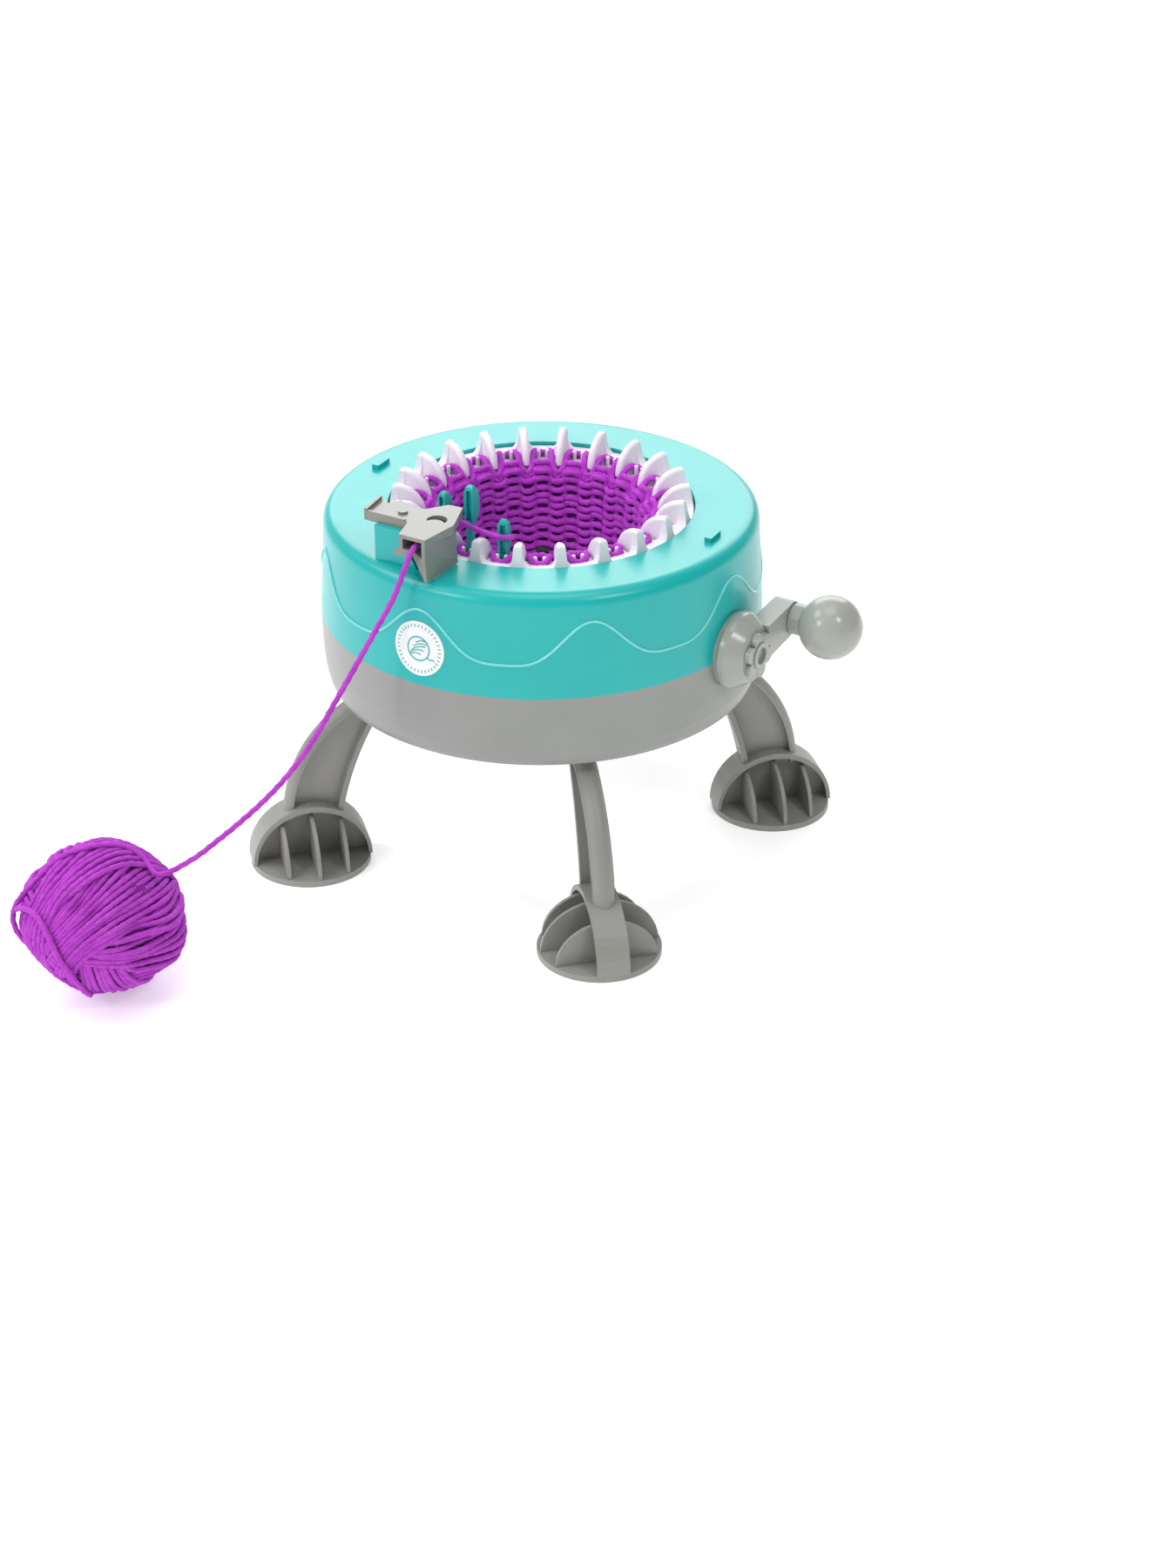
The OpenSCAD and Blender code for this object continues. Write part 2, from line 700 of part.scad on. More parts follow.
module tube_along(p, r, n) {
    last = len(p) - 1;
    polyhedron(
        points = [for (k = [0:last]) each ring_at(p, k, r, n)],
        faces = concat(
            [[for (j = [0:n - 1]) n - 1 - j]],
            [for (k = [0:last - 1], j = [0:n - 1])
                [k * n + j, k * n + (j + 1) % n, (k + 1) * n + (j + 1) % n, (k + 1) * n + j]],
            [[for (j = [0:n - 1]) last * n + j]]
        )
    );
}

module yarn_strand() {
    placed() color(purple) difference() {
        tube_along(strand_route, yarn_d / 2, 8);
        ball_solid(0.02);
    }
}

module ball_solid(grow) {
    translate([ball_x, ball_y, 0]) rotate_extrude()
        polygon(concat(arc_points(0, ball_h / 2, ball_r + grow, ball_h / 2 + grow, -90, 90, 24)));
}

module yarn_ball() {
    placed() color(purple) ball_solid(0);
}

top_cover();
lower_casing();
cover_clips();
cam_ring();
crank_bushing();
yarn_guide();
round_badge();
leg_front_left();
leg_front_right();
leg_rear_left();
leg_rear_right();
casing_screws();
leg_screws();
needle_cylinder();
fin_crown();
ring_gear();
gear_screws();
knitted_tube();
crank_shaft();
drive_pinion();
crank_arm();
flower_cap();
knob_pin();
ball_knob();
needle_01();
needle_02();
needle_03();
needle_04();
needle_05();
needle_06();
needle_07();
needle_08();
needle_09();
needle_10();
needle_11();
needle_12();
needle_13();
needle_14();
needle_15();
needle_16();
needle_17();
needle_18();
needle_19();
needle_20();
needle_21();
needle_22();
yarn_strand();
yarn_ball();
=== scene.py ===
import math

import bpy
import numpy as np
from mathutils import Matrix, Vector


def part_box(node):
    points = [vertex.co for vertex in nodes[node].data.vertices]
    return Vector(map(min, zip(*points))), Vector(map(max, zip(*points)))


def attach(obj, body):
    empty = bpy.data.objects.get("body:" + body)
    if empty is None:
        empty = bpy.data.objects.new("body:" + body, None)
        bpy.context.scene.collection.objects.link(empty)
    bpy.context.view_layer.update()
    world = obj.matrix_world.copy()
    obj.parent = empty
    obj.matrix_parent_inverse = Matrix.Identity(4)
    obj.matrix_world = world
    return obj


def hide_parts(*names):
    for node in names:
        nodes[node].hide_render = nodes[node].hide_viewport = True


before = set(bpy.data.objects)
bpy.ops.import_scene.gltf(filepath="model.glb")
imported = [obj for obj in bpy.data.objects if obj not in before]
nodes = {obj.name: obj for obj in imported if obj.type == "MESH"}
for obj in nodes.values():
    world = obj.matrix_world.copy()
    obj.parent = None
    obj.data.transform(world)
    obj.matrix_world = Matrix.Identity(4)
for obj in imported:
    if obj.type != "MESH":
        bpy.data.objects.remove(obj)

MM = 0.001
TAU = 2 * math.pi
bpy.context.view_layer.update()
scene = bpy.context.scene


def middle(node):
    low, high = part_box(node)
    return [(a + b) / 2 for a, b in zip(low, high)]


AXIS_X, AXIS_Y = middle("lower_casing")[:2]
NEEDLES = 22
PITCH = TAU / NEEDLES
FIRST_FIN = math.radians(15.14)      # the angle of the first fin; the first needle is half a pitch on


def drum(x, y, z):
    """A point given in millimetres from the drum's axis, in the row frame in metres."""
    return (AXIS_X + x * MM, AXIS_Y + y * MM, z * MM)


def polar(r, angle, z):
    """A point given by its distance from the drum's axis, its angle and its height, in millimetres."""
    return drum(r * math.cos(angle), r * math.sin(angle), z)


# ---------------------------------------------------------------- camera, lights and floor
camera_data = bpy.data.cameras.new("camera")
camera_data.lens = 79.17
camera_data.sensor_width = 36
camera_data.clip_start, camera_data.clip_end = 0.05, 50
camera = bpy.data.objects.new("camera", camera_data)
camera.location = drum(772.7, -1220.0, 821.4)
camera.rotation_mode = "QUATERNION"
CAM_RIGHT = Vector((0.8526, 0.5225, 0))
CAM_INTO = Vector((-0.4575, 0.7466, -0.4829))
CAM_UP = CAM_RIGHT.cross(CAM_INTO)
camera.rotation_quaternion = CAM_INTO.to_track_quat("-Z", "Y")
scene.collection.objects.link(camera)
scene.camera = camera
scene.view_settings.view_transform = "Standard"


def area_light(name, place, target, size, power, size_y=None):
    data = bpy.data.lights.new(name, "AREA")
    data.energy, data.size = power, size
    if size_y:
        data.shape, data.size_y = "RECTANGLE", size_y
    light = bpy.data.objects.new(name, data)
    light.location = place
    light.rotation_mode = "QUATERNION"
    light.rotation_quaternion = (Vector(target) - Vector(place)).to_track_quat("-Z", "Y")
    scene.collection.objects.link(light)


area_light("key", (-1.3, -0.7, 1.7), (0, 0, 0.1), 0.9, 13)
area_light("window_right", (1.06, -0.33, 1.26), (0, 0, 0.12), 0.24, 4.5, 0.32)
area_light("window_left", (-0.44, -1.27, 0.97), (0, 0, 0.12), 0.24, 4, 0.32)
area_light("overhead", (0.1, -0.1, 2.0), (0, 0, 0.1), 1.1, 9)
area_light("back", (-1.15, 1.9, 1.25), (0, 0, 0.15), 2.6, 34, 1.3)

world = bpy.data.worlds.new("studio")
world.use_nodes = True
scene.world = world
world.node_tree.nodes["Background"].inputs["Color"].default_value = (1, 1, 1, 1)
# The studio is darker on the crank's side
BRIGHT_SIDE, DARK_SIDE = 0.58, 0.16
studio = world.node_tree
direction = studio.nodes.new("ShaderNodeTexCoord")
split_xyz = studio.nodes.new("ShaderNodeSeparateXYZ")
falloff = studio.nodes.new("ShaderNodeMapRange")
for socket, value in (("From Min", -0.2), ("From Max", 0.9), ("To Min", BRIGHT_SIDE), ("To Max", DARK_SIDE)):
    falloff.inputs[socket].default_value = value
studio.links.new(direction.outputs["Generated"], split_xyz.inputs[0])
studio.links.new(split_xyz.outputs["X"], falloff.inputs["Value"])
studio.links.new(falloff.outputs["Result"], studio.nodes["Background"].inputs["Strength"])

FLOOR_HALF = 6
floor_mesh = bpy.data.meshes.new("floor")
floor_mesh.from_pydata([(x * FLOOR_HALF, y * FLOOR_HALF, 0) for x, y in ((-1, -1), (1, -1), (1, 1), (-1, 1))],
                       [], [(0, 1, 2, 3)])
floor = bpy.data.objects.new("floor", floor_mesh)
scene.collection.objects.link(floor)


# ---------------------------------------------------------------- mesh helpers
def new_object(name, verts, faces, material, smooth=True):
    mesh = bpy.data.meshes.new(name)
    mesh.from_pydata([tuple(v) for v in verts], [], faces)
    mesh.validate()
    if smooth:
        mesh.polygons.foreach_set("use_smooth", [True] * len(mesh.polygons))
    mesh.materials.append(material)
    obj = bpy.data.objects.new(name, mesh)
    scene.collection.objects.link(obj)
    return obj


def resample(points, step, closed=False):
    """Points at equal distances along a line through the given ones."""
    p = np.asarray(points, float)
    if closed:
        p = np.vstack([p, p[:1]])
    seg = np.linalg.norm(np.diff(p, axis=0), axis=1)
    s = np.concatenate([[0], np.cumsum(seg)])
    count = max(2, int(round(s[-1] / step)) + 1)
    at = np.linspace(0, s[-1], count)
    out = np.stack([np.interp(at, s, p[:, k]) for k in range(3)], axis=1)
    return out[:-1] if closed else out


def spline(points, step):
    """A smooth centripetal Catmull-Rom line through the points, at equal steps."""
    p = np.asarray(points, float)
    p = np.vstack([2 * p[0] - p[1], p, 2 * p[-1] - p[-2]])
    out = []
    for k in range(1, len(p) - 2):
        a, b, c, d = p[k - 1:k + 3]
        t = np.cumsum([0] + [max(np.linalg.norm(v), 1e-9) ** 0.5 for v in (b - a, c - b, d - c)])
        u = np.linspace(t[1], t[2], 24, endpoint=False)[:, None]
        a1 = (t[1] - u) / (t[1] - t[0]) * a + (u - t[0]) / (t[1] - t[0]) * b
        a2 = (t[2] - u) / (t[2] - t[1]) * b + (u - t[1]) / (t[2] - t[1]) * c
        a3 = (t[3] - u) / (t[3] - t[2]) * c + (u - t[2]) / (t[3] - t[2]) * d
        b1 = (t[2] - u) / (t[2] - t[0]) * a1 + (u - t[0]) / (t[2] - t[0]) * a2
        b2 = (t[3] - u) / (t[3] - t[1]) * a2 + (u - t[1]) / (t[3] - t[1]) * a3
        out.append((t[2] - u) / (t[2] - t[1]) * b1 + (u - t[1]) / (t[2] - t[1]) * b2)
    out.append(p[-2][None])
    return resample(np.vstack(out), step)


def frames(p, closed=False):
    """Rotation-minimising frames along a line: tangent, normal, binormal at each point."""
    if closed:
        t = np.roll(p, -1, 0) - np.roll(p, 1, 0)
    else:
        t = np.gradient(p, axis=0)
    t /= np.linalg.norm(t, axis=1)[:, None]
    n = np.zeros_like(p)
    first = np.cross(t[0], (0, 0, 1.0))
    if np.linalg.norm(first) < 1e-3:
        first = np.cross(t[0], (1.0, 0, 0))
    n[0] = first / np.linalg.norm(first)
    for k in range(1, len(p)):
        v = n[k - 1] - t[k] * np.dot(n[k - 1], t[k])
        n[k] = v / np.linalg.norm(v)
    return t, n, np.cross(t, n)


def tube(p, radius, sides, closed=False, plies=0, ply_length=14 * MM, depth=0.13):
    """Vertices and faces of a tube along p. plies > 0 gives it twisted lobes, as yarn has: one turn
    of the lobes in ply_length, with grooves as deep as the given share of the radius."""
    count = len(p)
    t, n, b = frames(p, closed)
    step = np.linalg.norm(np.diff(p, axis=0), axis=1)
    s = np.concatenate([[0], np.cumsum(step)])
    turn = np.zeros(count)
    if plies:
        turn = TAU * s / ply_length
    if closed:
        total = s[-1] + np.linalg.norm(p[0] - p[-1])
        v = n[-1] - t[0] * np.dot(n[-1], t[0])
        miss = math.atan2(np.dot(v, b[0]), np.dot(v, n[0]))
        if plies:
            turns = max(1, round(total / ply_length))
            turn = TAU * turns * s / total
        turn = turn - miss * s / total
    angle = TAU * np.arange(sides) / sides
    lobe = 1 - depth / 2 + depth / 2 * np.cos(plies * angle) if plies else np.ones(sides)
    a = angle[None] + turn[:, None]
    r = (radius * lobe)[None]
    verts = p[:, None] + n[:, None] * (r * np.cos(a))[..., None] + b[:, None] * (r * np.sin(a))[..., None]
    faces = []
    for k in range(count if closed else count - 1):
        m = (k + 1) % count
        for j in range(sides):
            i = (j + 1) % sides
            faces.append((k * sides + j, k * sides + i, m * sides + i, m * sides + j))
    if not closed:
        faces.append(tuple(range(sides - 1, -1, -1)))
        faces.append(tuple((count - 1) * sides + j for j in range(sides)))
    return verts.reshape(-1, 3), faces


def joined(parts):
    """The vertices and faces of several meshes as one."""
    verts, faces, start = [], [], 0
    for v, f in parts:
        verts.append(np.asarray(v))
        faces += [tuple(i + start for i in face) for face in f]
        start += len(v)
    return np.vstack(verts), faces


# ---------------------------------------------------------------- materials
def srgb(r, g, b):
    """A screen colour, 0 to 255 each, as the linear colour that the shaders use."""
    def linear(c):
        c /= 255
        return c / 12.92 if c <= 0.04045 else ((c + 0.055) / 1.055) ** 2.4
    return (linear(r), linear(g), linear(b), 1)


class Nodes:
    """A small helper: makes nodes in a material and links them."""

    def __init__(self, name):
        self.material = bpy.data.materials.new(name)
        self.material.use_nodes = True
        self.tree = self.material.node_tree
        self.shader = self.tree.nodes["Principled BSDF"]

    def add(self, kind, **values):
        node = self.tree.nodes.new(kind)
        for key, value in values.items():
            if hasattr(node, key):
                setattr(node, key, value)
            else:
                node.inputs[key.replace("_", " ")].default_value = value
        return node

    def link(self, source, output, target, socket):
        self.tree.links.new(source.outputs[output], target.inputs[socket])

    def noise(self, scale, detail, roughness):
        node = self.add("ShaderNodeTexNoise", Scale=scale, Detail=detail, Roughness=roughness)
        self.link(self.add("ShaderNodeTexCoord"), "Object", node, "Vector")
        return node

    def two_colours(self, source, output, a, b, low=0.35, high=0.65):
        span = self.add("ShaderNodeMapRange")
        span.inputs["From Min"].default_value, span.inputs["From Max"].default_value = low, high
        self.link(source, output, span, "Value")
        mix = self.add("ShaderNodeMix", data_type="RGBA")
        mix.inputs[6].default_value, mix.inputs[7].default_value = a, b
        self.link(span, "Result", mix, 0)
        return mix

    def bump(self, source, output, strength, distance, before=None):
        node = self.add("ShaderNodeBump", Strength=strength, Distance=distance)
        self.link(source, output, node, "Height")
        if before:
            self.link(before, "Normal", node, "Normal")
        self.link(node, "Normal", self.shader, "Normal")
        return node


def plastic(name, colour, dark, roughness, coat=0.0, grain=0.02, grain_scale=900.0):
    """Moulded plastic: slow flow marks in its colour, a fine skin texture, and uneven gloss."""
    m = Nodes(name)
    s = m.shader
    cloud = m.noise(11.0, 4.0, 0.55)
    m.link(m.two_colours(cloud, "Fac", colour, dark), 2, s, "Base Color")
    gloss = m.noise(38.0, 5.0, 0.6)
    span = m.add("ShaderNodeMapRange")
    span.inputs["To Min"].default_value = roughness - 0.035
    span.inputs["To Max"].default_value = roughness + 0.045
    m.link(gloss, "Fac", span, "Value")
    m.link(span, "Result", s, "Roughness")
    skin = m.noise(grain_scale, 2.0, 0.6)
    fine = m.bump(skin, "Fac", grain, 0.0002)
    wave = m.noise(55.0, 1.0, 0.5)
    m.bump(wave, "Fac", 0.05, 0.0006, fine)
    s.inputs["Coat Weight"].default_value = coat
    s.inputs["Coat Roughness"].default_value = 0.06
    return m.material


def yarn(name, light, dark, sheen):
    """Spun yarn: fibres in fine noise, a slow change of dye, and a soft edge."""
    m = Nodes(name)
    s = m.shader
    fibres = m.noise(1900.0, 3.0, 0.7)
    dye = m.noise(120.0, 4.0, 0.6)
    both = m.add("ShaderNodeMath", operation="ADD")
    m.link(fibres, "Fac", both, 0)
    m.link(dye, "Fac", both, 1)
    half = m.add("ShaderNodeMath", operation="MULTIPLY")
    half.inputs[1].default_value = 0.5
    m.link(both, 0, half, 0)
    m.link(m.two_colours(half, 0, light, dark, 0.4, 0.62), 2, s, "Base Color")
    first = m.bump(fibres, "Fac", 0.5, 0.0004)
    lumps = m.noise(520.0, 2.0, 0.5)
    m.bump(lumps, "Fac", 0.5, 0.0006, first)
    s.inputs["Roughness"].default_value = 0.85
    s.inputs["Specular IOR Level"].default_value = 0.25
    s.inputs["Sheen Weight"].default_value = sheen
    s.inputs["Sheen Roughness"].default_value = 0.5
    s.inputs["Sheen Tint"].default_value = (0.9, 0.7, 1.0, 1)
    s.inputs["Subsurface Weight"].default_value = 0.04
    s.inputs["Subsurface Radius"].default_value = (0.002, 0.0007, 0.002)
    return m.material


floor_look = Nodes("floor_white")
floor_look.shader.inputs["Base Color"].default_value = (0.9, 0.9, 0.9, 1)
floor_look.shader.inputs["Roughness"].default_value = 0.9
floor_look.shader.inputs["Emission Color"].default_value = (1, 1, 1, 1)
floor_look.shader.inputs["Emission Strength"].default_value = 0.4
floor_mesh.materials.append(floor_look.material)

teal = plastic("teal_gloss", srgb(14, 182, 179), srgb(8, 174, 172), 0.3, 0.0)
# A lighter teal for the wave bead: a painted highlight along its raised ridge
teal_painted_highlight = plastic("teal_bead_painted_highlight", srgb(120, 222, 218), srgb(110, 214, 210), 0.25, 0.3)
casing = plastic("casing_grey", srgb(150, 152, 149), srgb(142, 144, 141), 0.36)
leg = plastic("leg_grey", srgb(150, 151, 145), srgb(142, 143, 137), 0.42, 0.0, 0.05)
pale = plastic("pale_grey", srgb(166, 169, 162), srgb(158, 161, 154), 0.22, 0.0)
guide_grey = plastic("guide_grey", srgb(140, 142, 136), srgb(132, 134, 128), 0.26, 0.0)
white = plastic("bed_white", srgb(248, 244, 249), srgb(243, 238, 245), 0.38)
needle_teal = plastic("needle_teal", srgb(34, 172, 170), srgb(28, 162, 161), 0.3)
badge_white = plastic("badge_face", srgb(240, 242, 242), srgb(232, 236, 236), 0.3)
badge_teal = plastic("badge_print", srgb(40, 176, 172), srgb(34, 168, 165), 0.4)
steel = plastic("screw_steel", srgb(180, 180, 184), srgb(160, 160, 164), 0.3)
steel.node_tree.nodes["Principled BSDF"].inputs["Metallic"].default_value = 1.0
purple = yarn("yarn", srgb(202, 80, 216), srgb(178, 56, 194), 0.08)
purple_knit = yarn("knit_yarn", srgb(206, 76, 222), srgb(184, 56, 200), 0.12)
# A darker purple for the ball's core: painted shade for the depths of the ball seen between its strands
yarn_painted_shade = yarn("yarn_inner_painted_shade", srgb(138, 34, 152), srgb(116, 26, 130), 0.1)
# A darker purple for the sheet behind the knitted loops: painted shade for the gaps between the stitches
backing_painted_shade = yarn("knit_backing_painted_shade", srgb(168, 52, 184), srgb(146, 40, 160), 0.08)
dark_yarn = yarn("cast_on_yarn", srgb(84, 80, 86), srgb(62, 58, 64), 0.2)

# ---------------------------------------------------------------- the ball of yarn and its strand
YARN_D = 2.9 * MM
CENTRE = Vector(drum(-94, -217, 33))
BALL_R, BALL_HALF_H = 37 * MM, 33 * MM
CORE_R = 25.5 * MM
PILE = 1.3 * YARN_D          # how high the strands of one bundle pile up where they meet
PRESSED = 0.76 * YARN_D      # how close two crossing strands of the wound ball get
STEP = 1.9 * MM              # between two points along the strand
RUN = 0.9                    # the share of the ball's radius at which a strand's length is reckoned
SINK, SINK_LOOSE = 0.3, 0.2  # how far a strand may sink into those below it, in diameters
TAIL_PROUD = 0.3             # how far the free end stands proud of the winding, in diameters
A_LITTLE = 0.05              # the angle over which a strand's direction is taken
LAY = 0.92                   # the share of the ball's radius on which gaps between strands are measured
VIEW = np.array([CAM_RIGHT, CAM_UP, -CAM_INTO])


def toward(right, up, front=None):
    """A direction from the ball's centre, from where it is seen in front of the camera."""
    if front is None:
        front = math.sqrt(max(0.0, 1 - right * right - up * up))
    v = np.array([right, up, front]) @ VIEW
    return v / np.linalg.norm(v)


class Bundle:
    """Strands wound side by side round the ball, closest where they pass the focus."""

    def __init__(self, focus, aim, turns, near, far, phase):
        self.u = focus
        n = np.cross(focus, aim)
        self.n = n / np.linalg.norm(n)
        self.v = np.cross(self.n, self.u)
        self.turns, self.near, self.far, self.phase = turns, near * YARN_D, far * YARN_D, phase

    def at(self, angle, first):
        """Directions at the given angles along the bundle, whose first turn starts at angle first."""
        k = (angle - first) / TAU - self.turns / 2
        gap = self.near + (self.far - self.near) * np.sin(angle) ** 2
        side = k * gap + 0.12 * YARN_D * np.sin(2.3 * angle + self.phase)
        lat = side / (LAY * BALL_R)
        flat = np.cos(angle)[:, None] * self.u + np.sin(angle)[:, None] * self.v
        return np.cos(lat)[:, None] * flat + np.sin(lat)[:, None] * self.n


# From the inside out: focus, aim, turns, near and far spacing in diameters, phase of the waver
bundles = [
    Bundle(toward(0.05, 0.98, 0.1), toward(1, 0, 0), 8, 0.9, 1.15, 0.3),
    Bundle(toward(0.65, 0.1, -0.75), toward(0.1, 0.8, -0.6), 8, 0.9, 1.2, 1.7),
    Bundle(toward(-0.42, -0.38), toward(-0.72, 0.66, 0.1), 9, 0.75, 1.3, 2.9),
    Bundle(toward(-0.5, -0.62), toward(0.93, -0.25, 0.3), 8, 0.8, 1.15, 4.1),
    Bundle(toward(0.06, -0.42), toward(0.17, -0.98, 0.1), 9, 0.65, 1.35, 5.0),
    Bundle(toward(0.0, -0.42), toward(0.96, -0.22, 0.1), 6, 0.6, 1.2, 2.2),
    Bundle(toward(-0.38, -0.3), toward(0.68, 0.72, 0.2), 16, 0.5, 1.28, 3.6),
    Bundle(toward(-0.62, 0.08), toward(0.48, 0.87, -0.1), 7, 0.85, 1.1, 0.9),
]
JOIN = 0.42                  # how far before and after a change of direction the strand turns


def arc(bundle, start, stop, first):
    """The part of a bundle between two angles, in steps of about STEP."""
    count = max(2, int(abs(stop - start) * RUN * BALL_R / STEP))
    return bundle.at(np.linspace(start, stop, count), first)


def best_join(old, old_first, new):
    """Where the strand leaves the old bundle and joins the new one with the least turn."""
    grid = np.linspace(0, TAU, 73)[:-1]
    best = None
    end = old_first + TAU * old.turns
    for a in grid:
        p, q = old.at(np.array([end + a, end + a + A_LITTLE]), old_first)
        for b in grid:
            r, w = new.at(np.array([b, b + A_LITTLE]), b)
            turn = 1 - np.dot(q - p, w - r) / (np.linalg.norm(q - p) * np.linalg.norm(w - r))
            cost = np.linalg.norm(p - r) + 0.8 * turn
            if best is None or cost < best[0]:
                best = (cost, a, b)
    return best[1], best[2]


def mixed(a, b):
    """Directions that leave line a and ease into line b."""
    w = np.linspace(0, 1, len(a))[:, None]
    w = w * w * (3 - 2 * w)
    v = a * (1 - w) + b * w
    return v / np.linalg.norm(v, axis=1)[:, None]


# The free end at the front, and round the left side into the inner winding
tail = spline([toward(x, y) for x, y in [
    (-0.10, -0.97), (-0.17, -0.8), (-0.24, -0.6), (-0.33, -0.38), (-0.42, -0.17), (-0.5, -0.02), (-0.6, 0.09),
    (-0.72, 0.14), (-0.86, 0.15), (-0.96, 0.12)
]] + [toward(-0.95, 0.08, -0.3), toward(-0.8, 0.05, -0.6)], 0.045)
tail /= np.linalg.norm(tail, axis=1)[:, None]
first = 0.0
wound = []
start = first
for index, bundle in enumerate(bundles):
    stop = first + TAU * bundle.turns
    if index + 1 < len(bundles):
        after, before = best_join(bundle, first, bundles[index + 1])
        wound.append(arc(bundle, start, stop + after - JOIN, first))
        count = max(6, int(2 * JOIN * RUN * BALL_R / STEP))
        a = bundle.at(np.linspace(stop + after - JOIN, stop + after + JOIN, count), first)
        b = bundles[index + 1].at(np.linspace(before - JOIN, before + JOIN, count), before)
        wound.append(mixed(a, b))
        first, start = before, before + JOIN
    else:
        # Leaves the last bundle where it passes near the loose strand's start and heads its way
        loose_start, heading = toward(-0.8, -0.6), toward(-0.9, -0.4) - toward(-0.8, -0.6)
        grid = np.linspace(0, TAU, 181)[:-1]
        near = bundle.at(stop + grid, first)
        along = bundle.at(stop + grid + A_LITTLE, first) - near
        turn = 1 - along @ heading / (np.linalg.norm(along, axis=1) * np.linalg.norm(heading))
        after = grid[np.argmin(np.linalg.norm(near - loose_start, axis=1) + 0.4 * turn)]
        wound.append(arc(bundle, start, stop + after - 0.35, first))
chord = np.linspace(tail[-1], wound[0][0], 14)
head = mixed(chord, chord)
lead = np.vstack([head] + wound)
total_lead = len(lead)


def even(directions, r):
    """The same line on the sphere, at equal steps of about STEP."""
    out = resample(directions, STEP / r)
    return out / np.linalg.norm(out, axis=1)[:, None]


lead = even(lead, 0.93 * BALL_R)
# Where each bundle, and each join between two, begins along the line
marks = [int(m) for m in np.cumsum([len(head)] + [len(w) for w in wound]) * len(lead) / total_lead]


def heights(directions, laid, laid_r, floor_r, same=0):
    """The least distance from the centre at which each point clears the strands laid before it.
    The last ones laid, same in number, are in its own bundle, where strands press in side by side."""
    if not len(laid):
        return np.full(len(directions), floor_r)
    cos = np.clip(directions @ laid.T, -1, 1)
    lat = np.arccos(cos) * LAY * BALL_R
    need = np.where(lat < PRESSED, laid_r[None] + np.sqrt(np.maximum(PRESSED ** 2 - lat ** 2, 0)), 0)
    split = len(laid) - same
    below = np.full(len(directions), floor_r)
    if split > 0:
        below = np.maximum(below, need[:, :split].max(axis=1))
    if same > 0:
        return np.maximum(below, np.minimum(need[:, split:].max(axis=1), below + PILE))
    return below


def smoothed(values, sigma):
    """The values after a Gaussian blur of sigma points."""
    reach = int(3 * sigma)
    kernel = np.exp(-0.5 * (np.arange(-reach, reach + 1) / sigma) ** 2)
    kernel /= kernel.sum()
    return np.convolve(np.pad(values, reach, mode="edge"), kernel, mode="valid")


CHUNK = 24                   # points laid at a time
lead_r = np.zeros(len(lead))
for k in range(0, len(lead), CHUNK):
    part = slice(k, min(k + CHUNK, len(lead)))
    free = max(0, k - 3)
    begun = max([m for m in marks[::2] if m <= k] + [0])
    need = heights(lead[part], lead[:free], lead_r[:free], CORE_R, max(0, free - begun))
    context = np.concatenate([lead_r[max(0, k - 12):k], need])
    eased = smoothed(np.maximum(context, smoothed(context, 2.0)), 2.6)[-len(need):]
    lead_r[part] = np.maximum(eased, need - SINK * YARN_D)
# Where many strands cross at a focus, they press the pile down
PILE_KEPT = 0.4
outer = np.percentile(lead_r[len(lead_r) // 2:], 62)
lead_r = smoothed(np.where(lead_r > outer, outer + PILE_KEPT * (lead_r - outer), lead_r), 1.2)

# The loose strand, up the left side and over the top
loose = spline([toward(x, y) for x, y in [
    (-0.86, -0.5), (-0.94, -0.3), (-0.985, -0.05), (-0.95, 0.16), (-0.88, 0.32), (-0.66, 0.61), (-0.39, 0.81),
    (-0.13, 0.9), (0.08, 0.94), (0.36, 0.91), (0.56, 0.81), (0.67, 0.71), (0.735, 0.61)
]], 0.05)
loose /= np.linalg.norm(loose, axis=1)[:, None]
bridge = mixed(np.linspace(lead[-1], lead[-1] + 6 * (lead[-1] - lead[-3]), 14),
               np.linspace(loose[0] - 6 * (loose[2] - loose[0]), loose[0], 14))
last = even(np.vstack([bridge[1:], loose[1:]]), 0.95 * BALL_R)
last_r = heights(last, lead[:-8], lead_r[:-8], CORE_R)
last_r = np.maximum(smoothed(last_r, 4.0), last_r - SINK_LOOSE * YARN_D)
# It stands clear of the ball at the left side
lift = np.interp(last @ toward(-1, 0.02, 0.05), [0.9, 1.0], [0, 2.4 * MM])
last_r = smoothed(last_r + lift, 2.0)
tail = even(tail, BALL_R)
tail_r = heights(tail, lead[40:], lead_r[40:], CORE_R)
tail_r = np.maximum(smoothed(tail_r, 3.0), tail_r - SINK_LOOSE * YARN_D)
tail_r = smoothed(tail_r, 2.0) + TAIL_PROUD * YARN_D
# The tail dives between the layers where it meets the inner winding
dive = 16
mix = np.linspace(0, 1, dive)
mix = mix * mix * (3 - 2 * mix)
lead_r[:dive] = tail_r[-1] * (1 - mix) + lead_r[dive] * mix

# Where the wound ball is fuller, and where it is flatter, than an even one
BULGES = [
    (toward(0.84, 0.42, 0.3), -0.07), (toward(0.86, -0.45, 0.2), 0.05), (toward(-0.75, -0.62, 0.1), -0.09)
]
grow = (BALL_R - 0.9 * MM) / outer


def on_ball(directions, r):
    """Points of the row frame for directions and distances from the ball's centre."""
    full = 1 + sum(amount * np.maximum(0, directions @ side) ** 6 for side, amount in BULGES)
    p = directions * (r * grow * full)[:, None]
    p[:, 2] *= BALL_HALF_H / BALL_R
    return p + np.array(CENTRE)


ball_line = np.vstack([on_ball(tail, tail_r), on_ball(lead, lead_r)[1:], on_ball(last, last_r)[1:]])
# The winding reaches down to the floor
below = CENTRE.z - ball_line[:, 2]
ball_line[:, 2] = CENTRE.z - below * np.where(below > 0, (CENTRE.z - 0.52 * YARN_D) / below.max(), 1)
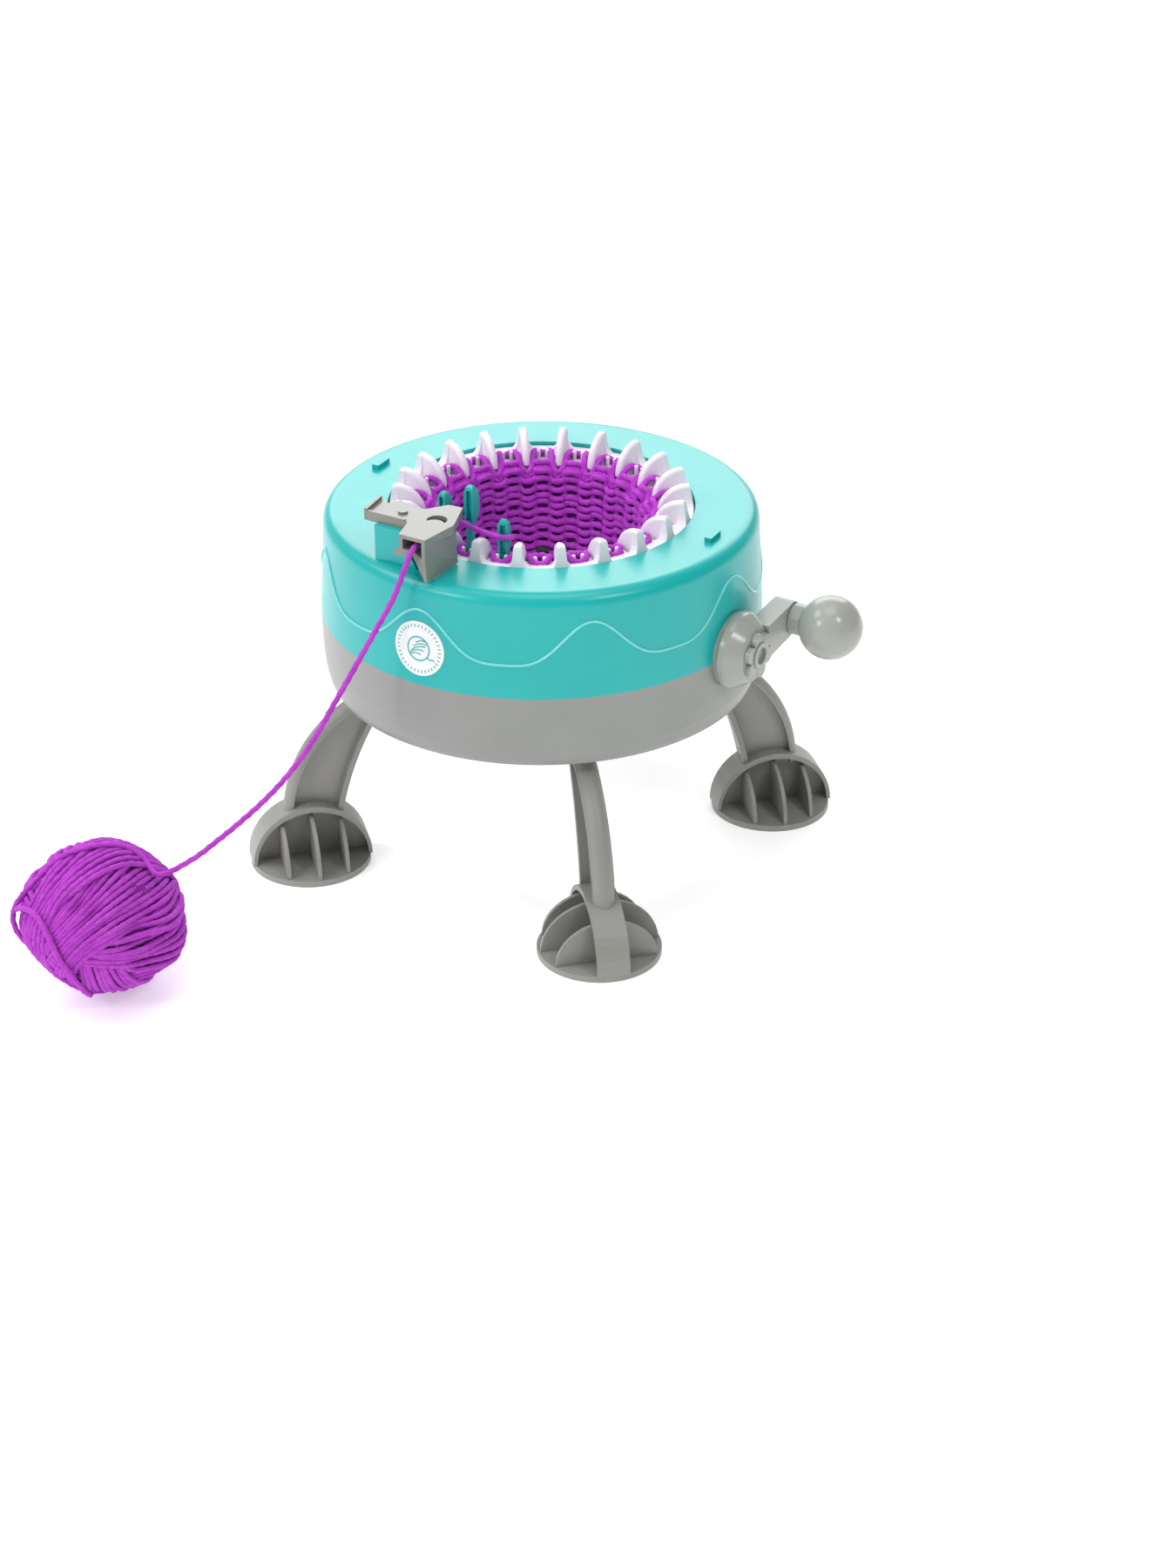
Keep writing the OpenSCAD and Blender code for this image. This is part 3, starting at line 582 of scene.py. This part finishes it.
# The route of the strand from the ball up to the guide's mouth, in millimetres from the drum's axis
strand_route = [
    (-2.6, -99.8, 188), (-2.8, -101.8, 187), (-3.2, -103.4, 184), (-5, -105.6, 176.5),
    (-8.4, -109, 165), (-12.8, -115, 153), (-17, -121.6, 141), (-20.8, -128, 130),
    (-24.4, -134.4, 119.5), (-28.4, -141, 108), (-32.6, -148, 98), (-37, -156.4, 89),
    (-41.6, -165.6, 81.6), (-46.6, -175.6, 75), (-52, -186, 68.8), (-57.6, -196.4, 63.2),
]
up = [drum(*p) for p in reversed(strand_route)]
joint_line = spline(list(ball_line[-9::2]) + [np.array(p) for p in up], STEP)
whole = resample(np.vstack([ball_line[:-9], joint_line]), STEP)[::-1]


def relaxed(p, least_radius):
    """The line with every bend that is tighter than the least radius eased out."""
    p = p.copy()
    for _ in range(200):
        tight = np.linalg.norm(np.diff(p, 2, axis=0), axis=1) * least_radius > STEP ** 2
        if not tight.any():
            break
        near = np.convolve(tight, np.ones(9), mode="same") > 0
        eased = 0.5 * p[1:-1] + 0.25 * (p[:-2] + p[2:])
        p[1:-1][near] = eased[near]
    return p


LEAST_BEND = 2.3 * YARN_D
for _ in range(5):
    whole = resample(relaxed(whole, LEAST_BEND), STEP)
yarn_verts, yarn_faces = tube(whole, 1.02 * YARN_D / 2, 9, plies=3, ply_length=15 * MM, depth=0.18)
cord = new_object("yarn", yarn_verts, yarn_faces, purple)
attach(cord, "casing")
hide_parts("yarn_strand", "yarn_ball")

# What the outer layers are wound on, in a darker purple: painted shade for the depths seen between the
# strands
rings, spokes = 24, 40
CORE_FLAT = 0.93
core_verts, core_faces = [], []
for i in range(rings + 1):
    for j in range(spokes):
        a, b = math.pi * i / rings, TAU * j / spokes
        bump = 1 + 0.02 * math.sin(9 * b + 3 * math.sin(4 * a))
        r = CORE_R * grow * 0.98 * bump
        across = r * math.sin(a)
        point = Vector((across * math.cos(b), across * math.sin(b), CORE_FLAT * r * math.cos(a)))
        core_verts.append(CENTRE + point)
for i in range(rings):
    for j in range(spokes):
        k = (j + 1) % spokes
        core_faces.append((i * spokes + j, (i + 1) * spokes + j, (i + 1) * spokes + k, i * spokes + k))
core = new_object("yarn_ball_core", core_verts, core_faces, yarn_painted_shade)
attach(core, "casing")

# The yarn inside the guide and on to the needle that takes it
taker = FIRST_FIN + 16.5 * PITCH
feed_points = [
    (-2.6, -99.8, 188), (-2.8, -96, 188.4), (-3.4, -88, 188.6), (-4.2, -79, 188.4), (-5.0, -71, 188.0),
    (-5.4, -65.5, 187.4), (-2.4, -62.4, 186.0), (4.0, -60.6, 183.6),
]
# It passes in front of the needle, clear above the fins, and round behind it
feed_hook = [(60.2, -6, 182.2), (60.0, -1.5, 181.5), (59.5, 2.6, 181.1), (56.6, 4.4, 180.6)]
feed_line = spline([np.array(drum(*p)) for p in feed_points]
                   + [np.array(polar(r, taker + math.radians(a), z)) for r, a, z in feed_hook], STEP)
feed_verts, feed_faces = tube(feed_line, YARN_D / 2, 9, plies=3, ply_length=15 * MM, depth=0.2)
feed = new_object("yarn_feed", feed_verts, feed_faces, purple)
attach(feed, "casing")

# ---------------------------------------------------------------- the knitted tube
KNIT_D = 3.3 * MM
COURSE = 4.0 * MM
TOP_COURSE_Z = 164.0 * MM
COURSES = 17
LOOP_H = 3.0 * MM
LOOP_DEPTH = 1.1 * MM
CAST_ON_Z = 126 * MM         # the courses below this height are the dark cast-on yarn
LOOP_STEP = 1.5 * MM         # between two points along the yarn of a loop
LOOP_LOOK = {"sides": 8, "closed": True, "plies": 2, "ply_length": 9 * MM, "depth": 0.16}


def tube_r(z):
    """The centre radius of the loops at a height: the tube narrows towards its lower end."""
    return np.interp(z, [0.096, 0.110, 0.135, 0.150, 0.164],
                     [0.0428, 0.0452, 0.0478, 0.0489, 0.0496])


def course(index):
    """One row of loops all the way round."""
    steps = 30
    k = np.arange(NEEDLES * steps)
    t = TAU * k / steps
    mid = TOP_COURSE_Z - index * COURSE
    wobble = 0.35 * MM * np.sin(0.37 * t / 2 + 1.9 * index) + 0.25 * MM * np.sin(t / 11 + index)
    squash_h = 1 + 0.1 * np.sin(t * 3 / NEEDLES + 2.1 * index)
    z = mid + LOOP_H * squash_h * np.cos(t) + wobble
    angle = FIRST_FIN + PITCH * (t / TAU + 0.5) + 0.11 * PITCH * np.sin(2 * t)
    r = tube_r(z) - LOOP_DEPTH * np.cos(2 * t)
    p = np.stack([AXIS_X + r * np.cos(angle), AXIS_Y + r * np.sin(angle), z], axis=1)
    return resample(p, LOOP_STEP, closed=True)


knit_parts, cast_parts = [], []
for index in range(COURSES):
    line = course(index)
    part = tube(line, KNIT_D / 2, **LOOP_LOOK)
    (cast_parts if line[:, 2].mean() < CAST_ON_Z else knit_parts).append(part)
loops = new_object("knit_loops", *joined(knit_parts), purple_knit)
cast_on = new_object("knit_cast_on", *joined(cast_parts), dark_yarn)

# The newest courses: from the tube up between the fins' noses and round the pegs of every needle.
# Each is (distance from the needle's plane, distance from the axis along it, height) in millimetres.
NEWEST = [
    [(-4.5, 53.4, 168.4), (-4.4, 56.3, 171.2), (-4.1, 59.4, 172.0), (-3.0, 62.0, 171.0), (-1.2, 62.5, 170.2),
     (1.2, 62.5, 170.2), (3.0, 62.0, 171.0), (4.1, 59.4, 172.0), (4.4, 56.3, 171.2), (4.5, 53.4, 168.4)],
    [(-5.0, 52.0, 166.6), (-3.6, 52.9, 169.4), (-1.6, 51.9, 169.6),
     (1.6, 51.9, 169.6), (3.6, 52.9, 169.4), (5.0, 52.0, 166.6)],
    [(-4.4, 51.3, 165.0), (-2.2, 51.7, 167.1), (0, 51.6, 167.4), (2.2, 51.7, 167.1), (4.4, 51.3, 165.0)],
]
# Where each of them dips under a fin: distance from the axis, and height
BETWEEN = [(50.9, 163.9), (50.8, 164.9), (50.5, 162.6)]


def newest(points, between):
    """One closed line of yarn that repeats the given points at every needle and dips under every fin."""
    line = []
    for index in range(NEEDLES):
        line.append(polar(between[0], FIRST_FIN + index * PITCH, between[1]))
        needle = FIRST_FIN + (index + 0.5) * PITCH
        for side, r, z in points:
            line.append(polar(math.hypot(r, side), needle + math.atan2(side, r), z))
    per = len(points) + 1
    line = [np.array(p) for p in line]
    smooth_line = spline(line[-per:] + line + line[:per], 0.5 * MM)
    # The line was laid a little more than once round: keep the one round between the two ends' overlap
    ends = 400
    a = int(np.argmin(np.linalg.norm(smooth_line[:ends] - line[0], axis=1)))
    b = len(smooth_line) - ends + int(np.argmin(np.linalg.norm(smooth_line[-ends:] - line[0], axis=1)))
    return tube(resample(smooth_line[a:b], LOOP_STEP, closed=True), KNIT_D / 2, **LOOP_LOOK)


newest_parts = [newest(points, between) for points, between in zip(NEWEST, BETWEEN)]
top_course = new_object("knit_top_course", *joined(newest_parts), purple_knit)

# The fabric behind the loops, a thin closed sheet in a darker purple, which paints the shade in the gaps
# between the stitches
web_rows, web_cols, web_t = 24, 176, 0.7 * MM
WEB_OUT, WEB_RIPPLE = 2.35 * MM, 0.12 * MM       # how far it lies outside the loops' centres
WEB_TOP, WEB_FOOT = 165.5, 98.5
web_verts, web_faces = [], []
for layer in (0, 1):
    for i in range(web_rows + 1):
        z = (WEB_TOP - (WEB_TOP - WEB_FOOT) * i / web_rows) * MM
        for j in range(web_cols):
            a = TAU * j / web_cols
            r = float(tube_r(z)) + WEB_OUT + layer * web_t + WEB_RIPPLE * math.cos(NEEDLES * a)
            web_verts.append((AXIS_X + r * math.cos(a), AXIS_Y + r * math.sin(a), z))
half = (web_rows + 1) * web_cols
for i in range(web_rows):
    for j in range(web_cols):
        k = (j + 1) % web_cols
        a, b, c, d = i * web_cols + j, i * web_cols + k, (i + 1) * web_cols + k, (i + 1) * web_cols + j
        web_faces += [(a, b, c, d), (d + half, c + half, b + half, a + half)]
for j in range(web_cols):
    k = (j + 1) % web_cols
    low = web_rows * web_cols
    web_faces += [(k, j, j + half, k + half), (low + j, low + k, low + k + half, low + j + half)]
web = new_object("knit_fabric", web_verts, web_faces, backing_painted_shade)
for piece in (loops, cast_on, top_course, web):
    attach(piece, "needle_bed")
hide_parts("knitted_tube")


# ---------------------------------------------------------------- the wave bead and the badge's picture
def skirt_r(z):
    """Radius of the cover's side at a height in millimetres."""
    return 102.3 - 2.3 * (z - 123.6) / 42.7


bead_points = []
bead_count, WAVES, WAVE_FOOT, WAVE_HEIGHT = 900, 8, 139.5, 20
for k in range(bead_count):
    a = TAU * k / bead_count
    bell = ((1 + math.cos(WAVES * a)) / 2) ** 1.9
    z = WAVE_FOOT + WAVE_HEIGHT * bell
    bead_points.append(polar(skirt_r(z) + 0.05, a, z))
BEAD_R = 0.62 * MM
bead_line = resample(np.array(bead_points), 1.2 * MM, closed=True)
# The bead's lighter teal is a painted highlight on the raised line
bead = new_object("wave_bead", *tube(bead_line, BEAD_R, 10, closed=True), teal_painted_highlight)
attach(bead, "casing")

badge_low, badge_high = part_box("round_badge")
BADGE_Z = (badge_low[2] + badge_high[2]) / 2 / MM


def on_badge(x, y, out):
    """A point on the badge's face: x to the right and y up from its middle, in millimetres."""
    z = BADGE_Z + y
    r = skirt_r(z) + 0.42 + out
    a = -math.pi / 2 + x / r
    return np.array(polar(r, a, z))


def line_on_badge(points, width, height=0.16):
    """A raised line along the points (x, y) on the badge's face."""
    p = resample([(x, y, 0) for x, y in points], 0.35)
    out = []
    d = np.gradient(p[:, :2], axis=0)
    d /= np.linalg.norm(d, axis=1)[:, None]
    for (x, y, _), (dx, dy) in zip(p, d):
        for side, lift in ((-1, -0.1), (-0.85, height), (0.85, height), (1, -0.1)):
            out.append(on_badge(x - dy * width / 2 * side, y + dx * width / 2 * side, lift))
    faces = []
    for k in range(len(p) - 1):
        for j in range(4):
            i = (j + 1) % 4
            faces.append((k * 4 + j, (k + 1) * 4 + j, (k + 1) * 4 + i, k * 4 + i))
    faces += [(0, 1, 2, 3), tuple(len(p) * 4 - 1 - j for j in range(4))]
    return out, faces


def on_circle(r, degrees):
    return r * math.cos(math.radians(degrees)), r * math.sin(math.radians(degrees))


# The label's sign, without lettering: a ball of yarn with its loose end, inside a ring of ticks
parts = [line_on_badge([on_circle(5.6, 9 * k) for k in range(41)], 0.7)]
for shift in (-3.2, -1.6, 0, 1.6, 3.2):
    half_w = math.sqrt(5.3 ** 2 - shift ** 2)
    rise = 1.4 * 2 * (1 - abs(shift) / 5)
    strand = [(-0.7 * half_w + shift * 0.5 + u * 1.4 * half_w,
               shift + rise * (u - 0.5) + 0.9 * math.sin(math.pi * u)) for u in np.linspace(0, 1, 12)]
    parts.append(line_on_badge(strand, 0.55))
parts.append(line_on_badge([(4.6, -3.6), (6.2, -4.3), (7.4, -3.8), (8.2, -4.6)], 0.6))
for degrees in range(0, 360, 10):
    parts.append(line_on_badge([on_circle(10.2, degrees), on_circle(11.5, degrees)], 0.5))
picture = new_object("badge_picture", *joined(parts), badge_teal, smooth=False)
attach(picture, "casing")


# ---------------------------------------------------------------- looks of the CAD nodes
LOOKS = {
    "top_cover": teal, "cover_clips": teal, "lower_casing": casing, "cam_ring": casing,
    "crank_bushing": pale, "yarn_guide": guide_grey, "round_badge": badge_white, "casing_screws": steel,
    "leg_screws": steel, "needle_cylinder": white, "fin_crown": white, "ring_gear": white,
    "gear_screws": steel, "knitted_tube": purple_knit, "crank_shaft": steel, "drive_pinion": white,
    "crank_arm": pale, "flower_cap": pale, "knob_pin": steel, "ball_knob": pale,
    "yarn_strand": purple, "yarn_ball": purple,
}
for name, node in nodes.items():
    if name.startswith("leg_") and name != "leg_screws":
        look = leg
    elif name.startswith("needle_") and name != "needle_cylinder":
        look = needle_teal
    else:
        look = LOOKS[name]
    for index in range(len(node.material_slots)):
        node.material_slots[index].material = look
